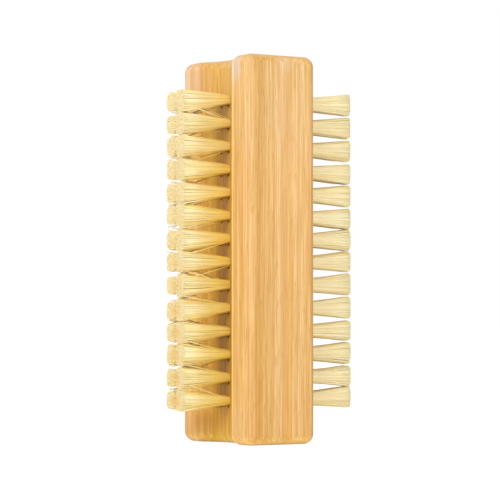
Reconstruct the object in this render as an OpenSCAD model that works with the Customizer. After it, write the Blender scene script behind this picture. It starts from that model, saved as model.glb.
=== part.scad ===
// Double-sided nail brush: a bamboo block with tufts of plant fibre on two opposite faces.
// X runs along the bristles, with the grooved front face at -X and the flat back face at +X.
// Y runs across the width, and Z runs up the length. The origin is the centre of the lower end face.

/* [Block] */
// Length of the block, along Z
block_l = 95; // [80:1:125]
// Width of the block, along Y
block_w = 32; // [26:0.5:42]
// Thickness of the block between its two bristle faces, along X
block_t = 20; // [18:0.5:28]
// Radius that rounds all the outer edges and corners
edge_r = 2.5; // [0.5:0.25:3]

/* [Groove] */
// Width of the groove where it meets the front face
groove_w = 17; // [12:0.5:20]
// Depth of the groove below the front face
groove_depth = 3.4; // [1.5:0.1:4.5]
// Radius that softens both lips of the groove
lip_r = 1; // [0.4:0.1:1.5]

/* [Tuft holes] */
// Number of tufts in each row
tufts_per_row = 14; // [6:1:14]
// Distance from each end of the block to the nearest hole's centre
end_margin = 10.4; // [8:0.2:14]
// Distance between the two rows of a face, centre to centre
row_gap = 3.4; // [3.2:0.1:4.4]
// Diameter of a tuft's drilled hole
hole_d = 2.6; // [2.2:0.1:2.8]
// Depth of a tuft's hole below the face that it is drilled in
hole_depth = 6.5; // [5:0.25:7]

/* [Bristles] */
// Height of the trimmed front bristles above the front face
front_reach = 11; // [8:0.5:16]
// Height of the trimmed back bristles above the back face
back_reach = 18; // [12:0.5:24]
// Size of a tuft's trimmed tip across the rows
tip_w = 4.2; // [3.4:0.1:5]
// Size of a front tuft's trimmed tip along its row
front_tip_l = 4.7; // [3.6:0.1:5.2]
// Size of a back tuft's trimmed tip along its row
back_tip_l = 5.3; // [4:0.1:5.5]
// Gap that is kept between the tips of neighbouring tufts
tip_gap = 0.12; // [0.05:0.01:0.3]

/* [Staples] */
// Thickness of a staple's flat wire
wire_t = 0.35; // [0.25:0.05:0.5]
// Width of a staple's flat wire, along its hole
wire_w = 1.8; // [1.2:0.1:2.2]
// Depth to which each end of a staple bites into the wall of its hole
bite = 0.25; // [0.1:0.05:0.4]
// Thickness of the folded fibres between a staple and the bottom of its hole
fold_t = 1.2; // [0.8:0.1:1.6]

/* [Hidden] */
// Turn of the staples about their holes, so that they don't split the grain
staple_turn = 45;
// Clearance of a tuft's plug in its hole
plug_fit = 0.05;
// Clearance round a staple in the wood and in the plug
wire_fit = 0.03;
// Depth of a plug's end below the mouth of its hole
plug_recess = 0.2;
// Length of a strand that is buried in its plug
strand_bury = 0.8;
// Clearance of the outermost strands at the mouth of their hole
rim_fit = 0.12;
// Overrun of every cut past the surface that it opens
cut_over = 1;

// Strands that stand in a ring round the one at the core of a tuft
ring_strands = 7;
// Sides of a strand
strand_sides = 4;
// Radius of a strand, as a share of half the tuft's size at the same height
strand_share = 0.27;
// Heights of the strands' middle and upper rings of points, as shares of the exposed length
height_shares = [0.5, 1];
// Spread of the tuft at those heights, as shares of its full spread
spread_shares = [0.55, 1];
// Turn from each tuft's ring of strands to the next one's
ring_turn = 37;

// Smoothness of the drilled and rounded surfaces
$fn = 48;

tuft_pitch = (block_l - 2 * end_margin) / (tufts_per_row - 1);
groove_r = (pow(groove_w / 2, 2) + pow(groove_depth, 2)) / (2 * groove_depth);
groove_x = -block_t / 2 + groove_depth - groove_r;
plug_r = hole_d / 2 - plug_fit;
plug_l = hole_depth - plug_recess - plug_fit;
staple_l = hole_d + 2 * bite;
staple_z = fold_t + wire_w / 2;
mouth_half = hole_d / 2 - rim_fit;
tip_half_w = tip_w / 2;
tip_y = max(row_gap, tip_w + tip_gap) / 2;
front_exposed = front_reach + groove_depth;

SIDES = ["front", "back"];
ROWS = ["near", "far"];

function tuft_name(side, row, i) = str(side, "_", row, "_tuft_", i);

// Height of tuft i of a row above the lower end
function tuft_z(i) = end_margin + (i - 1) * tuft_pitch;

// -1 for the row beside the near side face, and 1 for the other one
function row_sign(row) = row == "near" ? -1 : 1;

// Puts a child, whose hole runs up from its own origin, at the bottom of hole i of a row
module at_hole(side, row, i) {
    face_x = side == "front" ? block_t / 2 - groove_depth : block_t / 2;
    turn = side == "front" ? -90 : 90;
    translate([0, row_sign(row) * row_gap / 2, tuft_z(i)])
        rotate([0, turn, 0])
            translate([0, 0, face_x - hole_depth])
                children();
}

// A rectangle whose four corners have true round arcs, about the origin
module round_rect(x, y, r) {
    square([x - 2 * r, y], center = true);
    square([x, y - 2 * r], center = true);
    for (sx = [-1, 1], sy = [-1, 1])
        translate([sx * (x / 2 - r), sy * (y / 2 - r)])
            circle(r);
}

// The groove's outline, with its two lips rounded over
module groove_outline() {
    lip_x = -block_t / 2 + lip_r;
    lip_y = sqrt(pow(groove_r + lip_r, 2) - pow(lip_x - groove_x, 2));
    meet = groove_r / (groove_r + lip_r);
    outer_x = -block_t / 2 - cut_over;
    translate([groove_x, 0])
        circle(groove_r, $fn = 96);
    for (sy = [-1, 1])
        difference() {
            polygon([
                [outer_x, sy * lip_y],
                [lip_x, sy * lip_y],
                [groove_x + meet * (lip_x - groove_x), sy * meet * lip_y],
                [outer_x, sy * groove_w / 2]
            ]);
            translate([lip_x, sy * lip_y])
                circle(lip_r);
        }
}

// The curved end of the groove, which rounds its edge into the upper end face
module groove_end() {
    translate([groove_x, 0])
        rotate_extrude($fn = 96)
            difference() {
                translate([groove_r - cut_over, block_l - edge_r])
                    square([edge_r + cut_over, edge_r + cut_over]);
                translate([groove_r + edge_r, block_l - edge_r])
                    circle(edge_r);
            }
}

// What is left outside the ball that rounds the upper, far corner of the back face
module corner_cut() {
    translate([block_t / 2 - edge_r, block_w / 2 - edge_r, block_l - edge_r])
        difference() {
            cube(edge_r + cut_over);
            sphere(edge_r);
        }
}

// The block's outer shape, rounded on every outer edge and corner
module block_body() {
    difference() {
        intersection() {
            linear_extrude(block_l)
                difference() {
                    round_rect(block_t, block_w, edge_r);
                    groove_outline();
                }
            translate([0, block_w / 2, block_l / 2])
                rotate([90, 0, 0])
                    linear_extrude(block_w)
                        round_rect(block_t, block_l, edge_r);
            translate([-block_t / 2, 0, block_l / 2])
                rotate([90, 0, 90])
                    linear_extrude(block_t)
                        round_rect(block_w, block_l, edge_r);
        }
        for (low = [0, 1])
            translate([0, 0, low * block_l])
                mirror([0, 0, low]) {
                    groove_end();
                    for (mx = [0, 1], my = [0, 1])
                        mirror([mx, 0, 0])
                            mirror([0, my, 0])
                                corner_cut();
                }
    }
}

// A staple of flat wire across its hole, or the pocket that it needs when fit is its clearance
module staple(fit) {
    translate([0, 0, staple_z])
        rotate([0, 0, staple_turn])
            cube([staple_l + 2 * fit, wire_t + 2 * fit, wire_w + 2 * fit], center = true);
}

// The drilled hole of one tuft, with the two pockets that its staple's ends cut
module tuft_hole() {
    cylinder(h = hole_depth + groove_depth + cut_over, d = hole_d);
    staple(wire_fit);
}

module bamboo_block() {
    color([0.91, 0.70, 0.42])
        difference() {
            block_body();
            for (side = SIDES, row = ROWS, i = [1:tufts_per_row])
                at_hole(side, row, i)
                    tuft_hole();
        }
}

// One strand through rings of points, each ring given as [x, y, height, radius]
module strand(rings) {
    n = strand_sides;
    last = len(rings) - 1;
    points = [for (ring = rings, k = [0:n - 1])
        let (a = 360 * k / n)
        [ring[0] + ring[3] * cos(a), ring[1] + ring[3] * sin(a), ring[2]]];
    sides = [for (j = [0:last - 1], k = [0:n - 1])
        let (a = j * n + k, b = j * n + (k + 1) % n)
        each [[a, a + n, b + n], [a, b + n, b]]];
    root = [for (k = [1:n - 2]) [0, k, k + 1]];
    tip = [for (k = [1:n - 2]) [last * n, last * n + k + 1, last * n + k]];
    polyhedron(points, concat(sides, root, tip));
}

// A tuft, up from the bottom of its hole: a packed plug and the strands that spread from it.
// Its strands lean to the side that lean points to, so that the two rows stand apart at their tips.
module tuft(exposed, tip_l, lean, turn) {
    tip_half = [min(tip_l, tuft_pitch - tip_gap) / 2, tip_half_w];
    root_drop = strand_bury + plug_recess;
    root_share = -root_drop / exposed;
    shares = concat([root_share], height_shares);
    spreads = concat([root_share * spread_shares[0] / height_shares[0]], spread_shares);
    stations = [for (j = [0:len(shares) - 1])
        let (half = [for (h = tip_half) mouth_half + spreads[j] * (h - mouth_half)])
        [hole_depth + shares[j] * exposed, spreads[j] * lean, half, strand_share * min(half)]];
    difference() {
        union() {
            translate([0, 0, plug_fit])
                cylinder(h = plug_l, r = plug_r);
            strand([for (s = stations) [0, s[1], s[0], s[3]]]);
            for (k = [1:ring_strands])
                let (a = turn + 360 * k / ring_strands)
                strand([for (s = stations)
                    [(s[2][0] - s[3]) * cos(a), s[1] + (s[2][1] - s[3]) * sin(a), s[0], s[3]]]);
        }
        staple(wire_fit);
    }
}

module placed_tuft(side, row, i) {
    exposed = side == "front" ? front_exposed : back_reach;
    tip_l = side == "front" ? front_tip_l : back_tip_l;
    lean = row_sign(row) * (tip_y - row_gap / 2);
    color([0.95, 0.87, 0.65])
        at_hole(side, row, i)
            tuft(exposed, tip_l, lean, i * ring_turn);
}

module staples(side) {
    color([0.72, 0.72, 0.74])
        for (row = ROWS, i = [1:tufts_per_row])
            at_hole(side, row, i)
                staple(0);
}

bamboo_block();
for (side = SIDES, row = ROWS, i = [1:tufts_per_row])
    placed_tuft(side, row, i);
for (side = SIDES)
    staples(side);
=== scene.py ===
"""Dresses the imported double-sided nail brush: lacquered bamboo, plant-fibre tufts and steel staples.

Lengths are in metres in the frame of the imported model: X along the bristles, Y across the width and
Z up the block. The finishes' own sizes are in millimetres where their classes say so.
"""

import logging
import math
from dataclasses import dataclass
from enum import Enum
from typing import Any, Callable, Sequence, Union

import bpy
from mathutils import Matrix, Vector


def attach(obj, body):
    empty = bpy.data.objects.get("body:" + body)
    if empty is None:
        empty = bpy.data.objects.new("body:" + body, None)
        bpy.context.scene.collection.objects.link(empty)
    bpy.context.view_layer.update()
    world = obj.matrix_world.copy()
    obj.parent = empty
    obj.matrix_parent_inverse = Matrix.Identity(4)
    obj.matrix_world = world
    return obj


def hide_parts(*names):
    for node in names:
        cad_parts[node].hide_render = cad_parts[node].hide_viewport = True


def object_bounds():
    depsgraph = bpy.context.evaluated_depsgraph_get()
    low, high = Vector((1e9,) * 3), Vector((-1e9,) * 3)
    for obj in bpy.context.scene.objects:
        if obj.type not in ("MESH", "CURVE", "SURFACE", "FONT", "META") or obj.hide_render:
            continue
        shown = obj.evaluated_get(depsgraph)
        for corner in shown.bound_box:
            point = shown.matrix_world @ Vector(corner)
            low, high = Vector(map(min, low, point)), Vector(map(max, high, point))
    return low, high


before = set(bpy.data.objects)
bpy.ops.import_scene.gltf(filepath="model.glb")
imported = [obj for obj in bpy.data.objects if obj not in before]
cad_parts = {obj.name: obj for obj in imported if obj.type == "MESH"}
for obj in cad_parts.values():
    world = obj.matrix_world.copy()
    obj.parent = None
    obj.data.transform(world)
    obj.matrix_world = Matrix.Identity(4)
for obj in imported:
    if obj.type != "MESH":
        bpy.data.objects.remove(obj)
CAD_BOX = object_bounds()

MM = 0.001
GOLDEN_ANGLE = math.pi * (3 - math.sqrt(5))
BODY = "root"

Triple = tuple[float, float, float]
Tint = Triple
Paint = tuple[float, float, float, float]
Range = tuple[float, float]
Number = Union["Sock", float, int]
Settings = dict[Any, Any] | None

WHITE: Paint = (1.0, 1.0, 1.0, 1.0)

log = logging.getLogger("nail_brush")


def linear(red: int, green: int, blue: int) -> Paint:
    """Turns an sRGB colour of 0 to 255 into a linear colour with full alpha.

    Args:
        red: The red level.
        green: The green level.
        blue: The blue level.

    Returns:
        The linear red, green, blue and alpha.
    """
    low_end, slope, offset, gamma = 0.04045, 12.92, 0.055, 2.4
    levels = (level / 255 for level in (red, green, blue))
    r, g, b = (c / slope if c <= low_end else ((c + offset) / (1 + offset)) ** gamma for c in levels)
    return r, g, b, 1.0


def placed(name: str, data: bpy.types.ID) -> bpy.types.Object:
    """Puts a new object with this mesh, camera or lamp into the scene."""
    made = bpy.data.objects.new(name, data)
    bpy.context.scene.collection.objects.link(made)
    return made


class Side(Enum):
    """The two bristle faces, each with its direction along X."""

    FRONT = -1
    BACK = 1


class Row(Enum):
    """The two rows of a bristle face, each with its direction along Y."""

    NEAR = -1
    FAR = 1


class Slot(Enum):
    """The record's material slots."""

    BAMBOO = "bamboo"
    FIBRE = "fibre"
    WIRE = "staple_wire"


def arithmetic(operation: str, swapped: bool = False) -> Callable[["Sock", Number], "Sock"]:
    """Makes a method that works out a socket and another value with a Math node.

    Args:
        operation: What the node does.
        swapped: Whether the other value comes first.

    Returns:
        The method.
    """

    def method(self: "Sock", other: Number) -> "Sock":
        """Adds the Math node."""
        values = (other, self) if swapped else (self, other)
        return self.graph.math(operation, *values)

    return method


class Sock:
    """A node socket that can be used in Python arithmetic."""

    def __init__(self, graph: "Graph", socket: bpy.types.NodeSocket) -> None:
        """Keeps the socket and the graph that it belongs to."""
        self.graph = graph
        self.socket = socket

    __add__, __radd__ = arithmetic("ADD"), arithmetic("ADD", swapped=True)
    __sub__, __rsub__ = arithmetic("SUBTRACT"), arithmetic("SUBTRACT", swapped=True)
    __mul__, __rmul__ = arithmetic("MULTIPLY"), arithmetic("MULTIPLY", swapped=True)
    __truediv__, __rtruediv__ = arithmetic("DIVIDE"), arithmetic("DIVIDE", swapped=True)
    __pow__ = arithmetic("POWER")


class Graph:
    """Makes and links the nodes of one node tree."""

    def __init__(self, tree: bpy.types.NodeTree) -> None:
        """Keeps the tree that the nodes go into."""
        self.tree = tree

    def node(self, kind: str, settings: Settings = None, sockets: Settings = None) -> bpy.types.Node:
        """Makes one node.

        Args:
            kind: The node's type name.
            settings: Its properties, which are set first.
            sockets: Values or links for its inputs, by name or number.

        Returns:
            The node.
        """
        made = self.tree.nodes.new(kind)
        for name, value in (settings or {}).items():
            setattr(made, name, value)
        for key, value in (sockets or {}).items():
            if isinstance(value, Sock):
                self.tree.links.new(value.socket, made.inputs[key])
            else:
                made.inputs[key].default_value = value
        return made

    def value(
        self, kind: str, settings: Settings = None, sockets: Settings = None, out: str | int = 0
    ) -> Sock:
        """Makes one node and returns one of its outputs, by name or number."""
        return Sock(self, self.node(kind, settings, sockets).outputs[out])

    def math(self, operation: str, *values: Number) -> Sock:
        """Works out a result from one or more values with a Math node."""
        return self.value("ShaderNodeMath", {"operation": operation}, dict(enumerate(values)))

    def split(self, vector: Sock) -> tuple[Sock, Sock, Sock]:
        """Splits a vector into its three parts.

        Args:
            vector: The vector to split.

        Returns:
            Its X, Y and Z.
        """
        node = self.node("ShaderNodeSeparateXYZ", None, {0: vector})
        x, y, z = (Sock(self, output) for output in node.outputs)
        return x, y, z

    def join(self, x: Number, y: Number, z: Number) -> Sock:
        """Joins three values to one vector."""
        return self.value("ShaderNodeCombineXYZ", None, {0: x, 1: y, 2: z})

    def spread(self, value: Number, low: float, high: float, smooth: bool = True) -> Sock:
        """Stretches a value so that low becomes 0 and high becomes 1, and clamps it there.

        Args:
            value: The value to stretch.
            low: What becomes 0.
            high: What becomes 1.
            smooth: Whether the two ends are eased.

        Returns:
            The stretched value.
        """
        kind = "SMOOTHSTEP" if smooth else "LINEAR"
        return self.value(
            "ShaderNodeMapRange", {"interpolation_type": kind}, {"Value": value, 1: low, 2: high}
        )


class Along(Enum):
    """What a fade is measured along: an axis, or the distance from the middle of the width."""

    X = 0
    Y = 1
    Z = 2
    OUT = 3


class Mark(Enum):
    """What a fade on the fibres is measured along.

    TONE is the fibre's own tone, ALONG runs from its root to its tip, and LOW from the top of its tuft,
    at -1, to the bottom, at 1, with 0 for loose fibres. EDGE is LOW without its sign. OUT is the
    distance from the middle of the width and HEIGHT the height, both in millimetres. MOTTLE and LINES
    are noise, and PALE says how much the fibre has paled.
    """

    TONE = 0
    ALONG = 1
    LOW = 2
    EDGE = 3
    OUT = 4
    HEIGHT = 5
    MOTTLE = 6
    LINES = 7
    PALE = 8


Places = Sequence[Sock]
# What the fade is measured along, where it starts and where it is complete
Fade = tuple[Along | Mark, float, float]
# A ramp's place and its tint there
Stop = tuple[float, Tint]
IN_FRONT: Fade = (Along.X, 0.0, -1.0)


class ShaderGraph(Graph):
    """The nodes of a new material, whose surface is one Principled shader."""

    def __init__(self, name: str, constants: dict[str, Any]) -> None:
        """Makes the material.

        Args:
            name: The material's name.
            constants: The values on the shader's own sockets that are the same all over.
        """
        self.material = bpy.data.materials.new(name)
        self.material.use_nodes = True
        super().__init__(self.material.node_tree)
        self.tree.nodes.clear()
        self.shader = self.node("ShaderNodeBsdfPrincipled", None, constants)
        self.node("ShaderNodeOutputMaterial", None, {"Surface": Sock(self, self.shader.outputs[0])})

    def feed(self, name: str, value: Sock) -> None:
        """Links a value to one of the shader's sockets."""
        self.tree.links.new(value.socket, self.shader.inputs[name])

    def millimetres(self) -> Sock:
        """Returns the place on the piece in millimetres."""
        place = self.value("ShaderNodeTexCoord", None, None, "Object")
        return self.value("ShaderNodeVectorMath", {"operation": "SCALE"}, {0: place, "Scale": 1 / MM})

    def attribute(self, name: str) -> Sock:
        """Returns one of the piece's own values."""
        return self.value("ShaderNodeAttribute", {"attribute_name": name}, None, "Fac")

    def noise(self, place: Sock, cycles: Triple, detail: float = 2.0) -> Sock:
        """Returns noise from 0 to 1, which has this many cycles for each unit of a place."""
        scaled = self.value("ShaderNodeVectorMath", {"operation": "MULTIPLY"}, {0: place, 1: cycles})
        return self.value("ShaderNodeTexNoise", None, {"Vector": scaled, "Scale": 1.0, "Detail": detail})

    def ramp(self, share: Sock, stops: Sequence[Stop], steps: str = "LINEAR") -> Sock:
        """Adds a colour ramp.

        Args:
            share: Where the ramp is read, from 0 to 1.
            stops: The ramp's places and its tint at each of them.
            steps: How it goes from one tint to the next.

        Returns:
            The tint.
        """
        node = self.node("ShaderNodeValToRGB", None, {"Fac": share})
        elements = node.color_ramp.elements
        while len(elements) < len(stops):
            elements.new(1)
        for element, (place, tint) in zip(elements, stops):
            element.position = place
            element.color = (*tint, 1)
        node.color_ramp.interpolation = steps
        return Sock(self, node.outputs[0])

    def mix(self, amount: Number, first: Any, second: Any, kind: str = "MIX") -> Sock:
        """Mixes two colours, by how much of the second one shows."""
        settings = {"data_type": "RGBA", "blend_type": kind}
        return self.value("ShaderNodeMix", settings, {0: amount, 6: first, 7: second}, 2)

    def faded(self, places: Places, fades: Sequence[Fade]) -> Sock:
        """Returns what is left after several fades, from 0 to 1."""
        return math.prod(self.spread(places[along.value], start, full) for along, start, full in fades)

    def bump(self, height: Sock, depth: float) -> None:
        """Raises the surface a little, by a height from 0 to 1 and its depth in metres."""
        sockets = {"Height": height, "Distance": depth, "Strength": 1.0}
        self.feed("Normal", self.value("ShaderNodeBump", None, sockets, "Normal"))


@dataclass(frozen=True)
class Grain:
    """One layer of a noise pattern, in cycles for each millimetre along X, Y and Z."""

    cycles: Triple
    low: float
    high: float
    detail: float = 2.0

    def pattern(self, g: ShaderGraph, place: Sock) -> Sock:
        """Returns the layer at a place in millimetres, from 0 to 1."""
        return g.spread(g.noise(place, self.cycles, self.detail), self.low, self.high)


@dataclass(frozen=True)
class Zone:
    """A part of the block whose tint is painted light or shade."""

    tint: Tint
    fades: tuple[Fade, ...]


class Face(Enum):
    """The faces that carry painted light patches: what runs across each of them, and where it is."""

    SIDE = (Along.X, (Along.Y, -13.0, -15.0))
    FRONT = (Along.Y, (Along.X, -4.0, -5.0))


@dataclass(frozen=True)
class LightPatch:
    """A soft-edged oval of painted light or highlight, as a tint, on one face of the block, in millimetres.
    """

    face: Face
    middle: float
    half: float
    height: float
    half_height: float
    tint: Tint

    def mask(self, g: ShaderGraph, place: Places) -> Sock:
        """Returns how much of the painted light shows at a place.

        Args:
            g: The material's graph.
            place: The place on the block.

        Returns:
            The mask, from 0 to 1.
        """
        along, on_face = self.face.value
        across = (place[along.value] - self.middle) / self.half
        up = (place[Along.Z.value] - self.height) / self.half_height
        return g.spread(across * across + up * up, 1.0, 0.0) * g.faded(place, (on_face,))


@dataclass(frozen=True)
class BambooFinish:
    """Satin-lacquered bamboo, glued up from strips whose grain runs along Z, with light and shade painted
    into its colour. Sizes in millimetres.
    """

    pale: Paint = linear(238, 198, 139)
    golden: Paint = linear(226, 177, 100)
    deep: Paint = linear(196, 141, 64)
    rosy: Paint = linear(236, 189, 139)
    end_pale: Paint = linear(216, 170, 106)
    end_deep: Paint = linear(180, 131, 68)

    strip: float = 5.3
    strip_start: float = 0.7
    strips_before: int = 4
    strip_jump: tuple[float, float] = (7.3, 31.7)
    glue_line: float = 0.09
    drift_cycles: Triple = (0.05, 0.05, 0.022)
    sway: float = 0.5
    side_drift: float = 3.0

    wide: Grain = Grain((0.75, 0.75, 0.006), 0.36, 0.64)
    fine: Grain = Grain((2.2, 2.2, 0.03), 0.36, 0.64)
    hair: Grain = Grain((4.2, 4.2, 0.1), 0.34, 0.66, 1.0)
    dash: Grain = Grain((3.2, 3.2, 0.22), 0.60, 0.70, 1.0)
    blush: Grain = Grain((0.3, 0.3, 0.012), 0.4, 0.66, 1.0)
    pores: Grain = Grain((2.3, 2.3, 0.1), 0.48, 0.66)
    blush_share: float = 0.45
    fine_share: float = 0.44
    hair_share: float = 0.42
    dash_share: float = 0.5
    line_share: float = 0.25
    pore_share: float = 0.5
    end_line_share: float = 0.45
    strip_tone: float = 0.06

    roughness: float = 0.4
    hair_roughness: float = 0.12
    coat: float = 0.14
    dash_coat: float = 0.06
    hair_height: float = 0.6
    fine_height: float = 0.4
    line_height: float = 0.5
    grain_depth: float = 0.012 * MM

    side_tints: tuple[Stop, ...] = (
        (0.08, (1.02, 1.02, 1.02)), (0.115, (0.88, 0.80, 0.54)), (0.24, (0.93, 0.88, 0.70)),
        (0.42, (1.00, 1.01, 1.05)), (0.75, (1.02, 1.02, 1.02)), (0.97, (0.98, 0.97, 0.90)),
    )
    on_side: tuple[Fade, ...] = ((Along.OUT, 15.1, 15.7),)
    strip_tints: tuple[Tint, ...] = (
        (1.00, 1.00, 1.00), (1.07, 1.06, 1.00), (1.11, 1.09, 0.93), (0.97, 0.95, 0.90),
        (0.98, 0.96, 0.92), (1.05, 0.99, 0.74), (1.04, 1.00, 0.80),
    )
    # Painted light across the grooved face between the tufts.
    gap_light_tints: tuple[Stop, ...] = (
        (0.58, (1.00, 1.00, 1.00)), (0.62, (1.10, 1.22, 1.60)), (0.67, (1.08, 1.15, 1.30)),
        (0.71, (1.00, 1.00, 0.97)), (0.76, (1.12, 1.12, 0.98)), (0.82, (1.22, 1.22, 1.22)),
        (0.97, (1.22, 1.22, 1.22)),
    )
    in_gaps: tuple[Fade, ...] = (IN_FRONT, (Along.Z, 88.0, 78.0), (Along.Z, 4.5, 13.0))
    on_floor: tuple[Fade, ...] = ((Along.Y, 3.4, 2.4), (Along.Y, -9.5, -8.5), (Along.X, -9.2, -8.2))
    # Painted light on the upper groove floor and painted shade on the lower one.
    lit_high_floor: Paint = (1.08, 1.09, 0.98, 1.0)
    low_floor: Paint = (0.86, 0.82, 0.52, 1.0)
    floor_z: Range = (52.0, 38.0)

    # Painted light: the upper part of the block paler, as though lit from above.
    lit_head: Zone = Zone((0.99, 1.035, 1.14), ((Along.Z, 64.0, 80.0),))
    # Painted shade: the groove floor darker and browner, as though shaded by the tufts.
    groove_shade: Zone = Zone((0.99, 0.91, 0.36), (IN_FRONT, (Along.X, -9.6, -7.2), (Along.OUT, 8.6, 7.6)))
    # Painted light on the groove's walls where they show between the tufts.
    lit_walls: Zone = Zone((1.20, 1.28, 1.28), (
        IN_FRONT, (Along.OUT, 3.6, 4.8), (Along.OUT, 9.4, 8.6), (Along.Z, 87.0, 83.5), (Along.Z, 5.5, 9.0),
    ))
    # Painted highlight along the groove's rounded near lip.
    near_lip_highlight: Zone = Zone((1.08, 1.18, 1.30), (
        (Along.Y, -9.8, -9.0), (Along.Y, 0.0, -1.0), (Along.X, -9.2, -9.7),
    ))
    # Painted light: the block's bottom edge paler, where the floor leaves it in shade.
    lit_foot: Zone = Zone((1.25, 1.38, 1.25), ((Along.Z, 2.6, 0.4),))
    # Painted shade on the back face's long edges, which face away from the lamps.
    back_rim_shade: Zone = Zone((0.75, 0.66, 0.40), ((Along.X, 7.9, 9.0), (Along.OUT, 13.0, 14.4)))
    # Painted sheen: the far front edge less golden and cooler, as a reflection of the white room.
    far_rim_sheen: Zone = Zone((0.86, 0.90, 1.10), ((Along.X, -8.4, -9.4), (Along.Y, 11.8, 13.2)))
    light_patches: tuple[LightPatch, ...] = (
        # Painted highlight on the top of the groove's near lip.
        LightPatch(Face.FRONT, -10.0, 3.4, 92.2, 5.6, (0.94, 1.15, 2.20)),
        # Painted highlight on the side face by the top end.
        LightPatch(Face.SIDE, 0.8, 2.8, 92.4, 2.6, (1.00, 1.09, 1.28)),
        # Painted sheen over the upper front face.
        LightPatch(Face.FRONT, 5.0, 13.0, 92.0, 18.0, (1.00, 1.05, 1.75)),
        # Painted light on the lower front face.
        LightPatch(Face.FRONT, 4.0, 10.0, -2.0, 8.0, (1.10, 1.28, 1.60)),
    )

    # The top end's reach runs down the rounded top edge, where the end colour is painted shade.
    top_end_and_rim_shade_z: Range = (94.1, 94.8)
    low_end_z: Range = (0.3, 0.05)
    # Painted shadow under each hole's mouth: its colour, reach, drop, squash and place.
    mouth_shadow: Paint = (0.30, 0.20, 0.07, 1.0)
    mouth_shadow_reach: Range = (0.7, 0.42)
    mouth_shadow_drop: float = 1.28
    mouth_shadow_squash: float = 1.5
    mouth_shadow_x: Range = (5.0, 5.6)

    def _broad(self, g: ShaderGraph, block: "Block", place: Places, drift: Sock) -> Sock:
        """Tints the wood over broad areas: across each side face, and from strip to strip.

        Args:
            g: The material's graph.
            block: The block.
            place: The place on the block.
            drift: How far the grain wanders at the place, from -0.5 to 0.5.

        Returns:
            The tint.
        """
        across = (place[Along.X.value] + drift * self.side_drift) / (block.thickness / MM) + 0.5
        count = len(self.strip_tints)
        strips = [(number / count, tint) for number, tint in enumerate(self.strip_tints)]
        first = self.strip_start - self.strips_before * self.strip
        strip = g.ramp((place[Along.Y.value] - first) / (self.strip * count), strips, "CONSTANT")
        return g.mix(g.faded(place, self.on_side), strip, g.ramp(across, self.side_tints))

    def _gap_light(self, g: ShaderGraph, block: "Block", place: Places) -> Sock:
        """Paints light and shade on the grooved face where it shows between the tufts: lighter across it,
        darker low on its floor.

        Args:
            g: The material's graph.
            block: The block.
            place: The place on the block.

        Returns:
            The tint.
        """
        across = g.ramp(place[Along.Y.value] / (block.width / MM) + 0.5, self.gap_light_tints)
        floor = g.mix(g.spread(place[Along.Z.value], *self.floor_z), self.lit_high_floor, self.low_floor)
        tint = g.mix(g.faded(place, self.on_floor), across, floor)
        return g.mix(g.faded(place, self.in_gaps), WHITE, tint)

    def _mouth_shadows(self, g: ShaderGraph, block: "Block", place: Places) -> Sock:
        """Paints shadow just under each hole's mouth.

        Args:
            g: The material's graph.
            block: The block, whose holes these are.
            place: The place on the block.

        Returns:
            How much of the painted shadow shows, from 0 to 1.
        """
        pitch = block.pitch / MM
        rise = (place[Along.Z.value] + self.mouth_shadow_drop - block.end_margin / MM) / pitch
        number = g.math("MINIMUM", g.math("MAXIMUM", g.math("ROUND", rise), 0), block.tufts_per_row - 1)
        from_z = (rise - number) * pitch
        from_y = place[Along.OUT.value] - block.row_gap / MM / 2
        away = (from_z * from_z * self.mouth_shadow_squash + from_y * from_y) ** 0.5
        on_face = g.spread(g.math("ABSOLUTE", place[Along.X.value]), *self.mouth_shadow_x)
        return g.spread(away, *self.mouth_shadow_reach) * on_face

    def _end(self, g: ShaderGraph, point: Sock, line: Sock) -> Sock:
        """Colours the cut end faces.

        Args:
            g: The material's graph.
            point: The place as one vector.
            line: How much of a glue line shows at the place.

        Returns:
            The colour.
        """
        pores = self.pores.pattern(g, point)
        marks = g.math("MAXIMUM", pores * self.pore_share, line * self.end_line_share)
        return g.mix(marks, self.end_pale, self.end_deep)

    def build(self, block: "Block") -> bpy.types.Material:
        """Makes the material.

        Args:
            block: The block that it is for.

        Returns:
            The bamboo material.
        """
        g = ShaderGraph("lacquered_bamboo", {
            "Coat Roughness": 0.22, "Coat IOR": 1.45, "IOR": 1.45, "Specular IOR Level": 0.2,
        })
        point = g.millimetres()
        x, y, z = g.split(point)
        place = (x, y, z, g.math("ABSOLUTE", y))
        strips = (y - self.strip_start) / self.strip
        number = g.math("FLOOR", strips)
        edge = g.math("ABSOLUTE", strips - number - 0.5)
        line = g.spread(edge, 0.5 - self.glue_line / self.strip, 0.5)
        tone = g.value("ShaderNodeTexWhiteNoise", {"noise_dimensions": "1D"}, {"W": number}, "Value")

        drift = g.noise(point, self.drift_cycles, 1.0) - 0.5
        sway = drift * self.sway
        jump_y, jump_z = self.strip_jump
        shift = g.join(sway, number * jump_y + sway, number * jump_z)
        grain = g.value("ShaderNodeVectorMath", {"operation": "ADD"}, {0: point, 1: shift})
        fine, hair, dash = (layer.pattern(g, grain) for layer in (self.fine, self.hair, self.dash))

        colour = g.mix(self.wide.pattern(g, grain), self.golden, self.pale)
        colour = g.mix(self.blush.pattern(g, grain) * self.blush_share, colour, self.rosy)
        colour = g.mix((1 - fine) * self.fine_share, colour, self.deep)
        colour = g.mix((1 - hair) * self.hair_share, colour, self.deep)
        colour = g.mix(dash * self.dash_share, colour, self.deep)
        colour = g.mix(line * self.line_share, colour, self.deep)

        level = 1 + (tone - 0.5) * self.strip_tone
        strip_level = g.join(level, level, level)
        for tint in (strip_level, self._broad(g, block, place, drift), self._gap_light(g, block, place)):
            colour = g.mix(1.0, colour, tint, "MULTIPLY")
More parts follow.
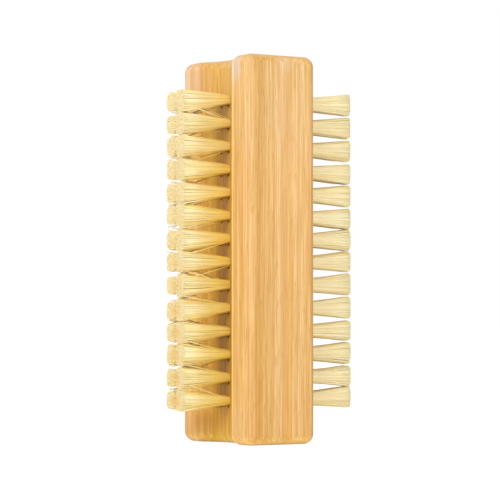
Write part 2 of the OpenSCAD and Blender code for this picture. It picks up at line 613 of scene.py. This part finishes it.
        # Painted light and shade: each zone's and each light patch's tint.
        masks = [
            (g.faded(place, zone.fades), zone.tint)
            for zone in (
                self.lit_head, self.groove_shade, self.lit_walls, self.near_lip_highlight, self.lit_foot, self.back_rim_shade, self.far_rim_sheen
            )
        ]
        masks += [(light_patch.mask(g, place), light_patch.tint) for light_patch in self.light_patches]
        for mask, tint in masks:
            colour = g.mix(mask, colour, (*tint, 1), "MULTIPLY")

        # End grain colour on both flat ends, and painted shade on the rounded top edge.
        end_and_rim_shade = g.math("MAXIMUM", g.spread(z, *self.top_end_and_rim_shade_z), g.spread(z, *self.low_end_z))
        colour = g.mix(end_and_rim_shade, colour, self._end(g, point, line))
        # Painted shadow under the hole mouths.
        colour = g.mix(self._mouth_shadows(g, block, place), colour, self.mouth_shadow, "MULTIPLY")
        g.feed("Base Color", colour)
        g.feed("Roughness", self.roughness + hair * self.hair_roughness)
        g.feed("Coat Weight", self.coat - dash * self.dash_coat)
        g.bump(hair * self.hair_height + fine * self.fine_height - line * self.line_height, self.grain_depth)
        return g.material


@dataclass(frozen=True)
class Share:
    """A value that differs between the back tufts and the front ones."""

    back: float
    front: float

    def at(self, front: Sock) -> Sock:
        """Returns the value where front goes from 0, at the back, to 1."""
        return self.back + front * (self.front - self.back)


@dataclass(frozen=True)
class Layer:
    """A colour that shows on some of the fibres, and less towards their tips where it has a fall."""

    paint: Paint
    share: Share
    fades: tuple[Fade, ...]
    fall: Share | None = None

    def over(self, g: ShaderGraph, colour: Any, places: Places, front: Sock) -> Sock:
        """Lays the colour over another one.

        Args:
            g: The material's graph.
            colour: The colour under it.
            places: All that a fade can be measured along.
            front: 1 in front and 0 at the back.

        Returns:
            The mixed colour.
        """
        share = self.share.at(front)
        if self.fall:
            share = share - places[Mark.ALONG.value] * self.fall.at(front)
        return g.mix(g.faded(places, self.fades) * share, colour, self.paint)


@dataclass(frozen=True)
class FibreFinish:
    """Dried plant fibre: golden where it leaves the wood, and pale straw at its cut tips.

    The layers lie on the root colour in order, and the cut tips' colour lies on them all. The lines, the
    under layer on the undersides and the shade layers are painted shade. The ageing turns the tip colour
    into the core colour. Heights and widths are in millimetres.
    """

    front_x: Range = (1.0, -1.0)
    back_paleness: float = 0.42
    mottle_cycles: Triple = (0.9, 2.5, 2.5)
    lines_across: Share = Share(5.5, 3.5)
    lines_apart: float = 3.7
    line_cycles: Triple = (1.0, 1.0, 0.9)
    roughness: float = 0.5
    tone_roughness: float = 0.15

    root: Paint = linear(255, 232, 124)
    body: Paint = linear(255, 246, 208)
    # Darker gold for the tufts' undersides, a painted shade.
    under: Paint = linear(244, 204, 74)
    shade: Paint = linear(132, 92, 20)
    layers: tuple[Layer, ...] = (
        Layer(body, Share(1.0, 1.0), ((Mark.PALE, 0.35, 0.95),)),
        Layer(linear(255, 230, 182), Share(0.3, 0.6), ((Mark.TONE, 0.6, 0.9),)),
        Layer(linear(240, 220, 120), Share(0.3, 0.6), ((Mark.TONE, 0.4, 0.1),)),
        Layer(root, Share(0.2, 0.2), ((Mark.MOTTLE, 0.35, 0.7),)),
        # Painted shade: golden streaks for the shade between neighbouring fibres.
        Layer(linear(222, 186, 90), Share(0.22, 0.34), ((Mark.LINES, 0.5, 0.6),)),
        # Painted shade: darker gold on the tufts' undersides, fading towards the tips.
        Layer(under, Share(0.35, 1.0), ((Mark.LOW, 0.25, 1.0),), fall=Share(0.3, 0.6)),
        Layer(under, Share(0.4, 0.6), ((Mark.LOW, -0.7, -1.0),)),
        Layer(root, Share(0.0, 0.14), ((Mark.HEIGHT, 75.0, 20.0),)),
        Layer(body, Share(0.0, 0.25), ((Mark.HEIGHT, 62.0, 84.0),)),
        Layer(shade, Share(0.0, 0.85), ((Mark.LOW, 0.5, 0.96), (Mark.ALONG, 0.62, 0.34))),
        Layer(shade, Share(0.15, 0.0), ((Mark.EDGE, 0.65, 1.0), (Mark.ALONG, 0.74, 0.6))),
        Layer(linear(205, 185, 160), Share(0.1, 0.0), ((Mark.ALONG, 0.95, 0.8), (Mark.ALONG, 0.22, 0.4))),
    )

    tip: Paint = linear(245, 227, 178)
    core: Paint = linear(238, 194, 98)
    middle: tuple[Fade, ...] = ((Mark.OUT, 3.4, 0.6), (Mark.EDGE, 0.9, 0.2))
    ageing: tuple[tuple[float, tuple[Fade, ...]], ...] = (
        (0.35, ((Mark.TONE, 0.3, 1.0),)),
        (0.3, ((Mark.MOTTLE, 0.45, 0.65),)),
        (0.12, middle),
        (0.4, (*middle, (Mark.HEIGHT, 75.0, 20.0))),
    )
    aged: Range = (0.1, 1.0)
    cut_along: Range = (0.965, 1.0)
    cut_share: float = 0.85

    def build(self) -> bpy.types.Material:
        """Makes the material.

        Returns:
            The fibre material.
        """
        g = ShaderGraph("plant_fibre", {"IOR": 1.4, "Specular IOR Level": 0.3})
        names = (BristleTree.TONE, BristleTree.ALONG, BristleTree.LOW, BristleTree.TUFT)
        tone, along, low, tuft = (g.attribute(name) for name in names)
        point = g.millimetres()
        x, y, height = g.split(point)
        front = g.spread(x, *self.front_x)
        line_place = g.join(low * self.lines_across.at(front), tuft * self.lines_apart, along)
        lines = g.noise(line_place, self.line_cycles, 1.0)
        pale = along + (1 - front) * self.back_paleness
        edge, out = g.math("ABSOLUTE", low), g.math("ABSOLUTE", y)
        places = (tone, along, low, edge, out, height, g.noise(point, self.mottle_cycles), lines, pale)

        colour: Any = self.root
        for layer in self.layers:
            colour = layer.over(g, colour, places, front)
        aged = sum(g.faded(places, fades) * share for share, fades in self.ageing)
        cut = g.mix(g.spread(aged, *self.aged), self.tip, self.core)
        colour = g.mix(g.spread(along, *self.cut_along) * self.cut_share, colour, cut)
        g.feed("Base Color", colour)
        g.feed("Roughness", self.roughness + tone * self.tone_roughness)
        return g.material


@dataclass(frozen=True)
class WireFinish:
    """Drawn steel wire of the staples. Sizes in millimetres."""

    steel: Paint = linear(190, 191, 194)
    worn: Paint = linear(150, 148, 146)
    draw_cycles: Triple = (9.0, 1.2, 1.2)
    draw_detail: float = 3.0
    wear: Range = (0.35, 0.65)
    roughness: float = 0.28
    draw_roughness: float = 0.2
    draw_depth: float = 0.004 * MM

    def build(self) -> bpy.types.Material:
        """Makes the material.

        Returns:
            The steel material.
        """
        g = ShaderGraph("staple_steel", {"Metallic": 1.0})
        draw = g.noise(g.millimetres(), self.draw_cycles, self.draw_detail)
        g.feed("Base Color", g.mix(g.spread(draw, *self.wear), self.steel, self.worn))
        g.feed("Roughness", self.roughness + draw * self.draw_roughness)
        g.bump(draw, self.draw_depth)
        return g.material


@dataclass(frozen=True)
class Block:
    """The bamboo block's sizes, as in the part's source, and its finish."""

    length: float = 95 * MM
    width: float = 32 * MM
    thickness: float = 20 * MM
    groove_depth: float = 3.4 * MM
    end_margin: float = 10.4 * MM
    tufts_per_row: int = 14
    row_gap: float = 3.4 * MM
    hole_d: float = 2.6 * MM
    finish: BambooFinish = BambooFinish()

    @property
    def pitch(self) -> float:
        """The distance between neighbouring tufts of a row."""
        return (self.length - 2 * self.end_margin) / (self.tufts_per_row - 1)

    def mouth_x(self, side: Side) -> float:
        """The distance of a side's hole mouths from the middle of the block."""
        return self.thickness / 2 - (self.groove_depth if side is Side.FRONT else 0)

    def dress(self) -> bpy.types.Object:
        """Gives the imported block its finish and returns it."""
        return dress_node("bamboo_block", self.finish.build(self))


@dataclass(frozen=True)
class Tuft:
    """What every tuft of one side shares. Lengths in metres, but the tilts of its tips in millimetres."""

    reach: float
    tip_l: float
    fibre_r: float
    unevenness: float
    tilts: tuple[float, ...]
    far_less: float = 0.9 * MM
    tip_w: float = 4.2 * MM
    tip_gap: float = 0.12 * MM
    fibres: int = 390
    sunk: float = 4.6 * MM
    rim_fit: float = 0.06 * MM
    mid_spread: float = 0.45
    squareness: float = 6.0
    sway: float = 0.02 * MM
    nod: float = 0.1 * MM
    stray_share: float = 0.0
    stray: float = 1.2 * MM
    cross_share: float = 0.0
    cross: float = 4.0 * MM

    @property
    def bow(self) -> float:
        """How fast the tuft widens at first, so that it has mid_spread of its spread half-way up."""
        return 4 * self.mid_spread - 1


class Draw(Enum):
    """The random values of a fibre or a tuft: each one's number, lowest and highest value."""

    RADIUS = (1, -0.025, 0.025)
    TURN = (2, -0.05, 0.05)
    CUT = (3, 0.0, 1.0)
    FULLNESS = (4, 0.95, 1.05)
    NOD = (5, -1.0, 1.0)
    WAVES = (6, 3.0, 8.0)
    PHASE_Z = (7, 0.0, 6.3)
    SWING_Z = (8, 0.0, 1.0)
    PHASE_Y = (9, 0.0, 6.3)
    SWING_Y = (10, 0.0, 1.0)
    THICKNESS = (11, 0.8, 1.2)
    TONE = (12, 0.0, 1.0)
    STRAY = (13, 0.0, 1.0)
    BEND = (14, 0.3, 1.0)
    CROSS = (15, 0.0, 1.0)
    SLANT = (16, 0.4, 1.0)


class BristleTree:
    """The geometry nodes that grow one row of tufts."""

    TONE = "tone"
    ALONG = "along"
    LOW = "low"
    TUFT = "tuft"
    LOCAL = "local"
    FIBRE = "fibre"
    SIDES = 4
    SEGMENTS = 4
    TUFT_TURN = 1.7
    CUT_POWER = 3
    SWING_POWER = 2
    COUNTS = ("tufts", "fibres", "seed")
    FROM_TUFT = (
        "sunk", "fibre_r", "bow", "squareness", "unevenness", "sway", "nod", "stray_share", "stray",
        "cross_share", "cross",
    )
    FROM_ROW = (
        "pitch", "first_height", "mouth", "side", "row_place", "lean", "exposed", "mouth_half", "tip_half_l",
        "tip_half_w",
    )

    def __init__(self, tufts: int) -> None:
        """Builds the tree once for all the rows.

        Args:
            tufts: The number of tufts in a row.
        """
        self.tree = bpy.data.node_groups.new("tuft_row", "GeometryNodeTree")
        self.graph = Graph(self.tree)
        self.tilts = [f"tilt_{number + 1}" for number in range(tufts)]
        self.keys: dict[str, str] = {}
        for name in self.COUNTS:
            self._socket(name, "NodeSocketInt")
        for name in (*self.FROM_TUFT, *self.FROM_ROW, *self.tilts):
            self._socket(name, "NodeSocketFloat")
        self._socket("material", "NodeSocketMaterial")
        self.tree.interface.new_socket(name="Mesh", in_out="OUTPUT", socket_type="NodeSocketGeometry")
        self.entry = self.graph.node("NodeGroupInput")
        self._build()

    def _socket(self, name: str, kind: str) -> None:
        """Adds an input of the tree and keeps its identifier."""
        made = self.tree.interface.new_socket(name=name, in_out="INPUT", socket_type=kind)
        self.keys[name] = made.identifier

    def _input(self, name: str) -> Sock:
        """Returns one of the tree's inputs."""
        return Sock(self.graph, self.entry.outputs[name])

    def _attribute(self, name: str, kind: str) -> Sock:
        """Returns a named attribute of the points."""
        return self.graph.value("GeometryNodeInputNamedAttribute", {"data_type": kind}, {"Name": name})

    def _store(self, mesh: Sock, name: str, kind: str, value: Sock) -> Sock:
        """Stores a named attribute on the points of a mesh.

        Args:
            mesh: The mesh.
            name: The attribute's name.
            kind: Its data type.
            value: What is stored.

        Returns:
            The mesh with the attribute.
        """
        settings = {"data_type": kind, "domain": "POINT"}
        sockets = {"Geometry": mesh, "Name": name, "Value": value}
        return self.graph.value("GeometryNodeStoreNamedAttribute", settings, sockets)

    def _random(self, owner: Sock, draw: Draw) -> Sock:
        """Returns a fixed random value for each fibre or tuft.

        Args:
            owner: The number of the fibre or tuft that the value belongs to.
            draw: Which of its values this is.

        Returns:
            The random value.
        """
        number, low, high = draw.value
        sockets = {2: low, 3: high, "ID": owner, "Seed": self._input("seed") + number}
        return self.graph.value("FunctionNodeRandomValue", {"data_type": "FLOAT"}, sockets, 1)

    def _fibres(self) -> Sock:
        """Makes one unit tube for each fibre, which keeps its number and its own coordinates.

        Returns:
            The tubes as one mesh.
        """
        g = self.graph
        count = self._input("tufts") * self._input("fibres")
        settings = {"mode": "OFFSET", "count_mode": "TOTAL"}
        points = g.value("GeometryNodeMeshLine", settings, {"Count": count, "Offset": (0, 0, 0)})
        index = g.value("GeometryNodeInputIndex")
        points = self._store(points, self.FIBRE, "INT", index)
        sizes = {"Vertices": self.SIDES, "Side Segments": self.SEGMENTS, "Radius": 1.0, "Depth": 1.0}
        tube = g.value("GeometryNodeMeshCylinder", {"fill_type": "NGON"}, sizes)
        tube = self._store(tube, self.LOCAL, "FLOAT_VECTOR", g.value("GeometryNodeInputPosition"))
        placed = g.value("GeometryNodeInstanceOnPoints", None, {"Points": points, "Instance": tube})
        return g.value("GeometryNodeRealizeInstances", None, {"Geometry": placed})

    def _tilt(self, tuft: Sock) -> Sock:
        """Picks the height by which a tuft's tip is bent up or down.

        Args:
            tuft: The tuft's number.

        Returns:
            Its own tilt.
        """
        node = self.graph.node("GeometryNodeIndexSwitch", {"data_type": "FLOAT"}, {"Index": tuft})
        while len(node.index_switch_items) < len(self.tilts):
            node.index_switch_items.new()
        for number, name in enumerate(self.tilts):
            self.tree.links.new(self._input(name).socket, node.inputs[number + 1])
        return Sock(self.graph, node.outputs[0])

    def _section(self, fibre: Sock, tuft: Sock, spread: Sock) -> tuple[Sock, Sock]:
        """Places a fibre in its tuft's section, which turns from round to nearly square.

        Args:
            fibre: The fibre's number.
            tuft: The tuft's number.
            spread: How much of its full spread the tuft has.

        Returns:
            The fibre's place up the row and across it, from -1 to 1.
        """
        g = self.graph
        fibres = self._input("fibres")
        number = fibre - tuft * fibres
        radius = ((number + 0.5) / fibres) ** 0.5 + self._random(fibre, Draw.RADIUS)
        turn = number * GOLDEN_ANGLE + tuft * self.TUFT_TURN + self._random(fibre, Draw.TURN)
        cosine, sine = g.math("COSINE", turn), g.math("SINE", turn)
        power = self._input("squareness")
        square = (g.math("ABSOLUTE", cosine) ** power + g.math("ABSOLUTE", sine) ** power) ** (-1 / power)
        radius = radius * (1 + (square - 1) * spread)
        return radius * cosine, radius * sine

    def _swing(self, fibre: Sock, wave: Sock, phase: Draw, size: Draw) -> Sock:
        """Waves a fibre to one side and the other, from -1 to 1, most fibres only a little."""
        wave = wave + self._random(fibre, phase)
        return self.graph.math("SINE", wave) * self._random(fibre, size) ** self.SWING_POWER

    def _loose(self, fibre: Sock, tuft: Sock, up: Sock, share: Sock) -> tuple[Sock, Sock]:
        """Bends a few stray fibres away, and slants a few more across the gap to the next tuft.

        Args:
            fibre: The fibre's number.
            tuft: The tuft's number.
            up: The fibre's place up the row in its tuft.
            share: The share of the way from the hole's mouth to the tip.

        Returns:
            The height that this adds, and 1 for the fibres that keep to their tuft.
        """
        g = self.graph
        outward = g.math("SIGN", up)
        is_stray = g.math("LESS_THAN", self._random(fibre, Draw.STRAY), self._input("stray_share"))
        stray = is_stray * outward * self._random(fibre, Draw.BEND) * self._input("stray") * share * share
        aim = tuft + outward
        crosses = g.math("LESS_THAN", self._random(fibre, Draw.CROSS), self._input("cross_share"))
        crosses = crosses * g.math("GREATER_THAN", aim, -0.5)
        crosses = crosses * g.math("LESS_THAN", aim, self._input("tufts") - 0.5)
        cross = crosses * outward * self._random(fibre, Draw.SLANT) * self._input("cross") * share
        return stray + cross, (1 - is_stray) * (1 - crosses)

    def _build(self) -> None:
        """Fills the tree."""
        g = self.graph
        mesh = self._fibres()
        fibre = self._attribute(self.FIBRE, "INT")
        side_x, side_z, length_share = g.split(self._attribute(self.LOCAL, "FLOAT_VECTOR"))
        along = length_share + 0.5
        tuft = g.math("FLOOR", (fibre + 0.5) / self._input("fibres"))

        exposed, sunk = self._input("exposed"), self._input("sunk")
        cut = self._random(fibre, Draw.CUT) ** self.CUT_POWER * self._input("unevenness")
        height = along * (exposed + sunk - cut) - sunk
        share = g.math("MAXIMUM", height / exposed, 0.0)
        bow = self._input("bow")
        spread = share * (bow - share * (bow - 1))
        up, across = self._section(fibre, tuft, spread)

        mouth_half, fibre_r = self._input("mouth_half"), self._input("fibre_r")
        tip_half_l = self._input("tip_half_l") * self._random(tuft, Draw.FULLNESS)
        half_z = mouth_half + spread * (tip_half_l - mouth_half)
        half_y = mouth_half + spread * (self._input("tip_half_w") - mouth_half)
        nod = self._random(tuft, Draw.NOD) * self._input("nod") + self._tilt(tuft)
        sway = self._input("sway") * share
        wave = along * self._random(fibre, Draw.WAVES)
        swing_y = self._swing(fibre, wave, Draw.PHASE_Y, Draw.SWING_Y) * sway
        swing_z = self._swing(fibre, wave, Draw.PHASE_Z, Draw.SWING_Z) * sway
        loose, kept = self._loose(fibre, tuft, up, share)

        side = self._input("side")
        thick = fibre_r * self._random(fibre, Draw.THICKNESS)
        x = side * (self._input("mouth") + height)
        y = self._input("row_place") + self._input("lean") * spread
        y = y + across * (half_y - fibre_r) + swing_y + side * side_x * thick
        z = self._input("first_height") + tuft * self._input("pitch") + nod * spread
        z = z + up * (half_z - fibre_r) + swing_z + loose + side_z * thick

        stored = {
            self.TONE: self._random(fibre, Draw.TONE), self.ALONG: along, self.LOW: 0 - kept * up,
            self.TUFT: tuft,
        }
        for name, value in stored.items():
            mesh = self._store(mesh, name, "FLOAT", value)
        mesh = g.value("GeometryNodeSetPosition", None, {"Geometry": mesh, "Position": g.join(x, y, z)})
        for name in (self.LOCAL, self.FIBRE):
            mesh = g.value("GeometryNodeRemoveAttribute", None, {"Geometry": mesh, "Name": name})
        mesh = g.value("GeometryNodeSetShadeSmooth", None, {"Geometry": mesh})
        mesh = g.value("GeometryNodeRealizeInstances", None, {"Geometry": mesh})
        sockets = {"Geometry": mesh, "Material": self._input("material")}
        mesh = g.value("GeometryNodeSetMaterial", None, sockets)
        g.node("NodeGroupOutput", None, {0: mesh})

    def grow(self, name: str, values: dict[str, Any]) -> bpy.types.Object:
        """Runs the tree and keeps its result as a plain mesh.

        Args:
            name: The piece's name.
            values: The tree's inputs by name.

        Returns:
            The piece.
        """
        piece = placed(name, bpy.data.meshes.new(name))
        modifier = piece.modifiers.new("tufts", "NODES")
        modifier.node_group = self.tree
        for key, value in values.items():
            modifier[self.keys[key]] = value
        graph = bpy.context.evaluated_depsgraph_get()
        grown = piece.evaluated_get(graph)
        mesh = bpy.data.meshes.new_from_object(grown, preserve_all_data_layers=True, depsgraph=graph)
        mesh.name = name
        piece.modifiers.remove(modifier)
        piece.data = mesh
        return piece


@dataclass(frozen=True)
class BristleRow:
    """One row of tufts on one side of the block."""

    block: Block
    side: Side
    row: Row
    tuft: Tuft
    seed: int

    @property
    def name(self) -> str:
        """The row's name, such as front_near."""
        return f"{self.side.name}_{self.row.name}".lower()

    def build(self, tree: BristleTree, material: bpy.types.Material) -> bpy.types.Object:
        """Grows the row in place of its packed tufts.

        Args:
            tree: The geometry nodes that grow a row.
            material: The fibres' material.

        Returns:
            The row.
        """
        block, tuft = self.block, self.tuft
        sunk_mouth = block.groove_depth if self.side is Side.FRONT else 0.0
        tip_y = max(block.row_gap, tuft.tip_w + tuft.tip_gap) / 2
        values: dict[str, Any] = {name: getattr(tuft, name) for name in tree.FROM_TUFT}
        values.update({
            "tufts": block.tufts_per_row,
            "fibres": tuft.fibres,
            "seed": self.seed,
            "pitch": block.pitch,
            "first_height": block.end_margin,
            "mouth": block.mouth_x(self.side),
            "side": float(self.side.value),
            "row_place": self.row.value * block.row_gap / 2,
            "lean": self.row.value * (tip_y - block.row_gap / 2),
            "exposed": tuft.reach + sunk_mouth,
            "mouth_half": block.hole_d / 2 - tuft.rim_fit,
            "tip_half_l": (tuft.tip_l - (tuft.far_less if self.row is Row.FAR else 0)) / 2,
            "tip_half_w": tuft.tip_w / 2,
            "material": material,
        })
        values.update({name: tilt * MM for name, tilt in zip(tree.tilts, tuft.tilts)})
        piece = tree.grow(f"{self.name}_bristles", values)
        nodes = [f"{self.name}_tuft_{number + 1}" for number in range(block.tufts_per_row)]
        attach(piece, BODY)
        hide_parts(*nodes)
        return piece


@dataclass(frozen=True)
class Staples:
    """The flat wire staples of both sides, kept as packed."""

    finish: WireFinish = WireFinish()

    def dress(self) -> list[bpy.types.Object]:
        """Gives the two packed sets of staples their finish and returns them."""
        steel = self.finish.build()
        return [dress_node(f"{side.name.lower()}_staples", steel) for side in Side]


@dataclass(frozen=True)
class Camera:
    """The photograph's camera, worked out from the block's edges. Lengths in metres."""

    turn: float = math.radians(31.72)
    tilt: float = math.radians(1.758)
    distance: float = 574.2 * MM
    aside: float = 0.46 * MM
    height: float = 30.12 * MM
    focal_pixels: float = 2308.0
    picture_pixels: float = 500.0
    sensor_mm: float = 36.0
    nearest: float = 10 * MM
    farthest: float = 20.0

    def build(self) -> bpy.types.Object:
        """Makes the camera and looks through it.

        Returns:
            The camera.
        """
        data = bpy.data.cameras.new("camera")
        data.sensor_width = self.sensor_mm
        data.lens = self.focal_pixels / self.picture_pixels * self.sensor_mm
        data.clip_start = self.nearest
        data.clip_end = self.farthest
        camera = placed("camera", data)
        right = Vector((math.cos(self.turn), -math.sin(self.turn), 0))
        away = Vector((math.sin(self.turn), math.cos(self.turn), 0))
        place = right * self.aside - away * self.distance + Vector((0, 0, self.height))
        turned = Matrix.Rotation(-self.turn, 4, "Z") @ Matrix.Rotation(math.pi / 2 + self.tilt, 4, "X")
        camera.matrix_world = Matrix.Translation(place) @ turned
        bpy.context.scene.camera = camera
        return camera


@dataclass(frozen=True)
class Lamp:
    """A soft square lamp that faces the brush. Lengths in metres, power in watts."""

    name: str
    place: Triple
    size: float
    power: float

    def build(self, target: Vector) -> bpy.types.Object:
        """Makes the lamp.

        Args:
            target: The point that it faces.

        Returns:
            The lamp.
        """
        data = bpy.data.lights.new(self.name, "AREA")
        data.shape = "SQUARE"
        data.size = self.size
        data.energy = self.power
        lamp = placed(self.name, data)
        lamp.location = self.place
        lamp.rotation_euler = (target - lamp.location).to_track_quat("-Z", "Y").to_euler()
        return lamp


@dataclass(frozen=True)
class Studio:
    """A pale floor, a white room and soft lamps. Lengths in metres, power in watts."""

    floor_half: float = 6.0
    floor_bounce: float = 0.95
    floor_glow: float = 1.2
    floor_share: float = 0.65
    room_level: float = 0.85
    lamps: tuple[Lamp, ...] = (
        Lamp("key_lamp", (-0.55, -0.35, 0.42), 0.4, 1.97),
        Lamp("front_lamp", (0.42, -0.62, 0.26), 0.4, 1.0),
        Lamp("back_lamp", (-0.35, 0.75, 0.35), 0.4, 0.75),
    )

    @staticmethod
    def _seen(g: Graph) -> Sock:
        """Returns 1 for rays that show the background itself, and 0 for rays that light the brush."""
        path = g.node("ShaderNodeLightPath")
        camera, glossy, through = (
            Sock(g, path.outputs[name])
            for name in ("Is Camera Ray", "Is Glossy Ray", "Is Transmission Ray")
        )
        return g.math("MAXIMUM", g.math("MAXIMUM", camera, glossy), through)

    def _floor(self) -> bpy.types.Object:
        """Makes the floor, which looks white but keeps the brush's shadow.

        Returns:
            The floor.
        """
        half = self.floor_half
        mesh = bpy.data.meshes.new("floor")
        outline = [(-half, -half, 0), (half, -half, 0), (half, half, 0), (-half, half, 0)]
        mesh.from_pydata(outline, [], [(0, 1, 2, 3)])
        floor = placed("floor", mesh)
        material = bpy.data.materials.new("pale_floor")
        material.use_nodes = True
        g = Graph(material.node_tree)
        g.tree.nodes.clear()
        pale = (self.floor_bounce,) * 3 + (1,)
        matte = g.value("ShaderNodeBsdfDiffuse", None, {"Color": pale})
        glow = g.value("ShaderNodeEmission", None, {"Color": WHITE, "Strength": self.floor_glow})
        share = self._seen(g) * self.floor_share
        mixed = g.value("ShaderNodeMixShader", None, {0: share, 1: matte, 2: glow})
        g.node("ShaderNodeOutputMaterial", None, {"Surface": mixed})
        mesh.materials.append(material)
        return floor

    def _room(self) -> None:
        """Makes the white room round the brush."""
        world = bpy.data.worlds.new("white_room")
        world.use_nodes = True
        g = Graph(world.node_tree)
        g.tree.nodes.clear()
        level = self.room_level + self._seen(g) * (1 - self.room_level)
        glow = g.value("ShaderNodeBackground", None, {"Color": WHITE, "Strength": level})
        g.node("ShaderNodeOutputWorld", None, {"Surface": glow})
        bpy.context.scene.world = world

    def build(self, target: Vector) -> None:
        """Sets up the floor, the room, the lamps and the view settings.

        Args:
            target: The point that the lamps face.
        """
        self._floor()
        self._room()
        for lamp in self.lamps:
            lamp.build(target)
        bpy.context.scene.view_settings.view_transform = "Standard"


def dress_node(name: str, material: bpy.types.Material) -> bpy.types.Object:
    """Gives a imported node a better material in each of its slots.

    Args:
        name: The node's name.
        material: The material.

    Returns:
        The node's object.
    """
    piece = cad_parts[name]
    for place in piece.material_slots:
        place.material = material
    return piece


@dataclass(frozen=True)
class NailBrush:
    """The whole brush: its block, four rows of tufts and staples."""

    block: Block = Block()
    front: Tuft = Tuft(
        reach=11 * MM, tip_l=5.5 * MM, fibre_r=0.14 * MM, unevenness=0.3 * MM,
        tilts=(0.3, 0.0, 0.0, -0.4, -0.6, -0.3, -0.2, -0.65, -0.2, -0.55, -0.5, -0.4, -0.65, -0.95),
        mid_spread=0.58, squareness=3.5, sway=0.045 * MM, stray_share=0.02, cross_share=0.006,
    )
    back: Tuft = Tuft(
        reach=18 * MM, tip_l=5.45 * MM, fibre_r=0.165 * MM, unevenness=0.08 * MM,
        tilts=(0.5, 0.0, 0.2, 0.1, 0.35, 0.5, 0.5, 0.2, -0.2, -0.1, -0.1, 0.1, 0.25, 0.4),
    )
    staples: Staples = Staples()
    fibre: FibreFinish = FibreFinish()
    seeds: tuple[int, ...] = (11, 23, 37, 53)

    def rows(self) -> list[BristleRow]:
        """Lists the rows of tufts, each with its own seed.

        Returns:
            The four rows: near and far in front, then near and far at the back.
        """
        kinds = [(side, row) for side in Side for row in Row]
        tufts = {Side.FRONT: self.front, Side.BACK: self.back}
        return [
            BristleRow(self.block, side, row, tufts[side], seed)
            for (side, row), seed in zip(kinds, self.seeds)
        ]

    def build(self) -> list[bpy.types.Object]:
        """Builds and dresses all the pieces.

        Returns:
            The pieces.
        """
        pieces = [self.block.dress(), *self.staples.dress()]
        tree = BristleTree(self.block.tufts_per_row)
        material = self.fibre.build()
        return pieces + [row.build(tree, material) for row in self.rows()]


def main() -> None:
    """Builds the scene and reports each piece."""
    logging.basicConfig(level=logging.INFO, format="%(name)s: %(message)s")
    Camera().build()
    low, high = CAD_BOX
    Studio().build((low + high) / 2)
    for piece in NailBrush().build():
        faces = sum(len(face.vertices) - 2 for face in piece.data.polygons)
        log.info("%s: %d triangles", piece.name, faces)


if __name__ == "__main__":
    main()
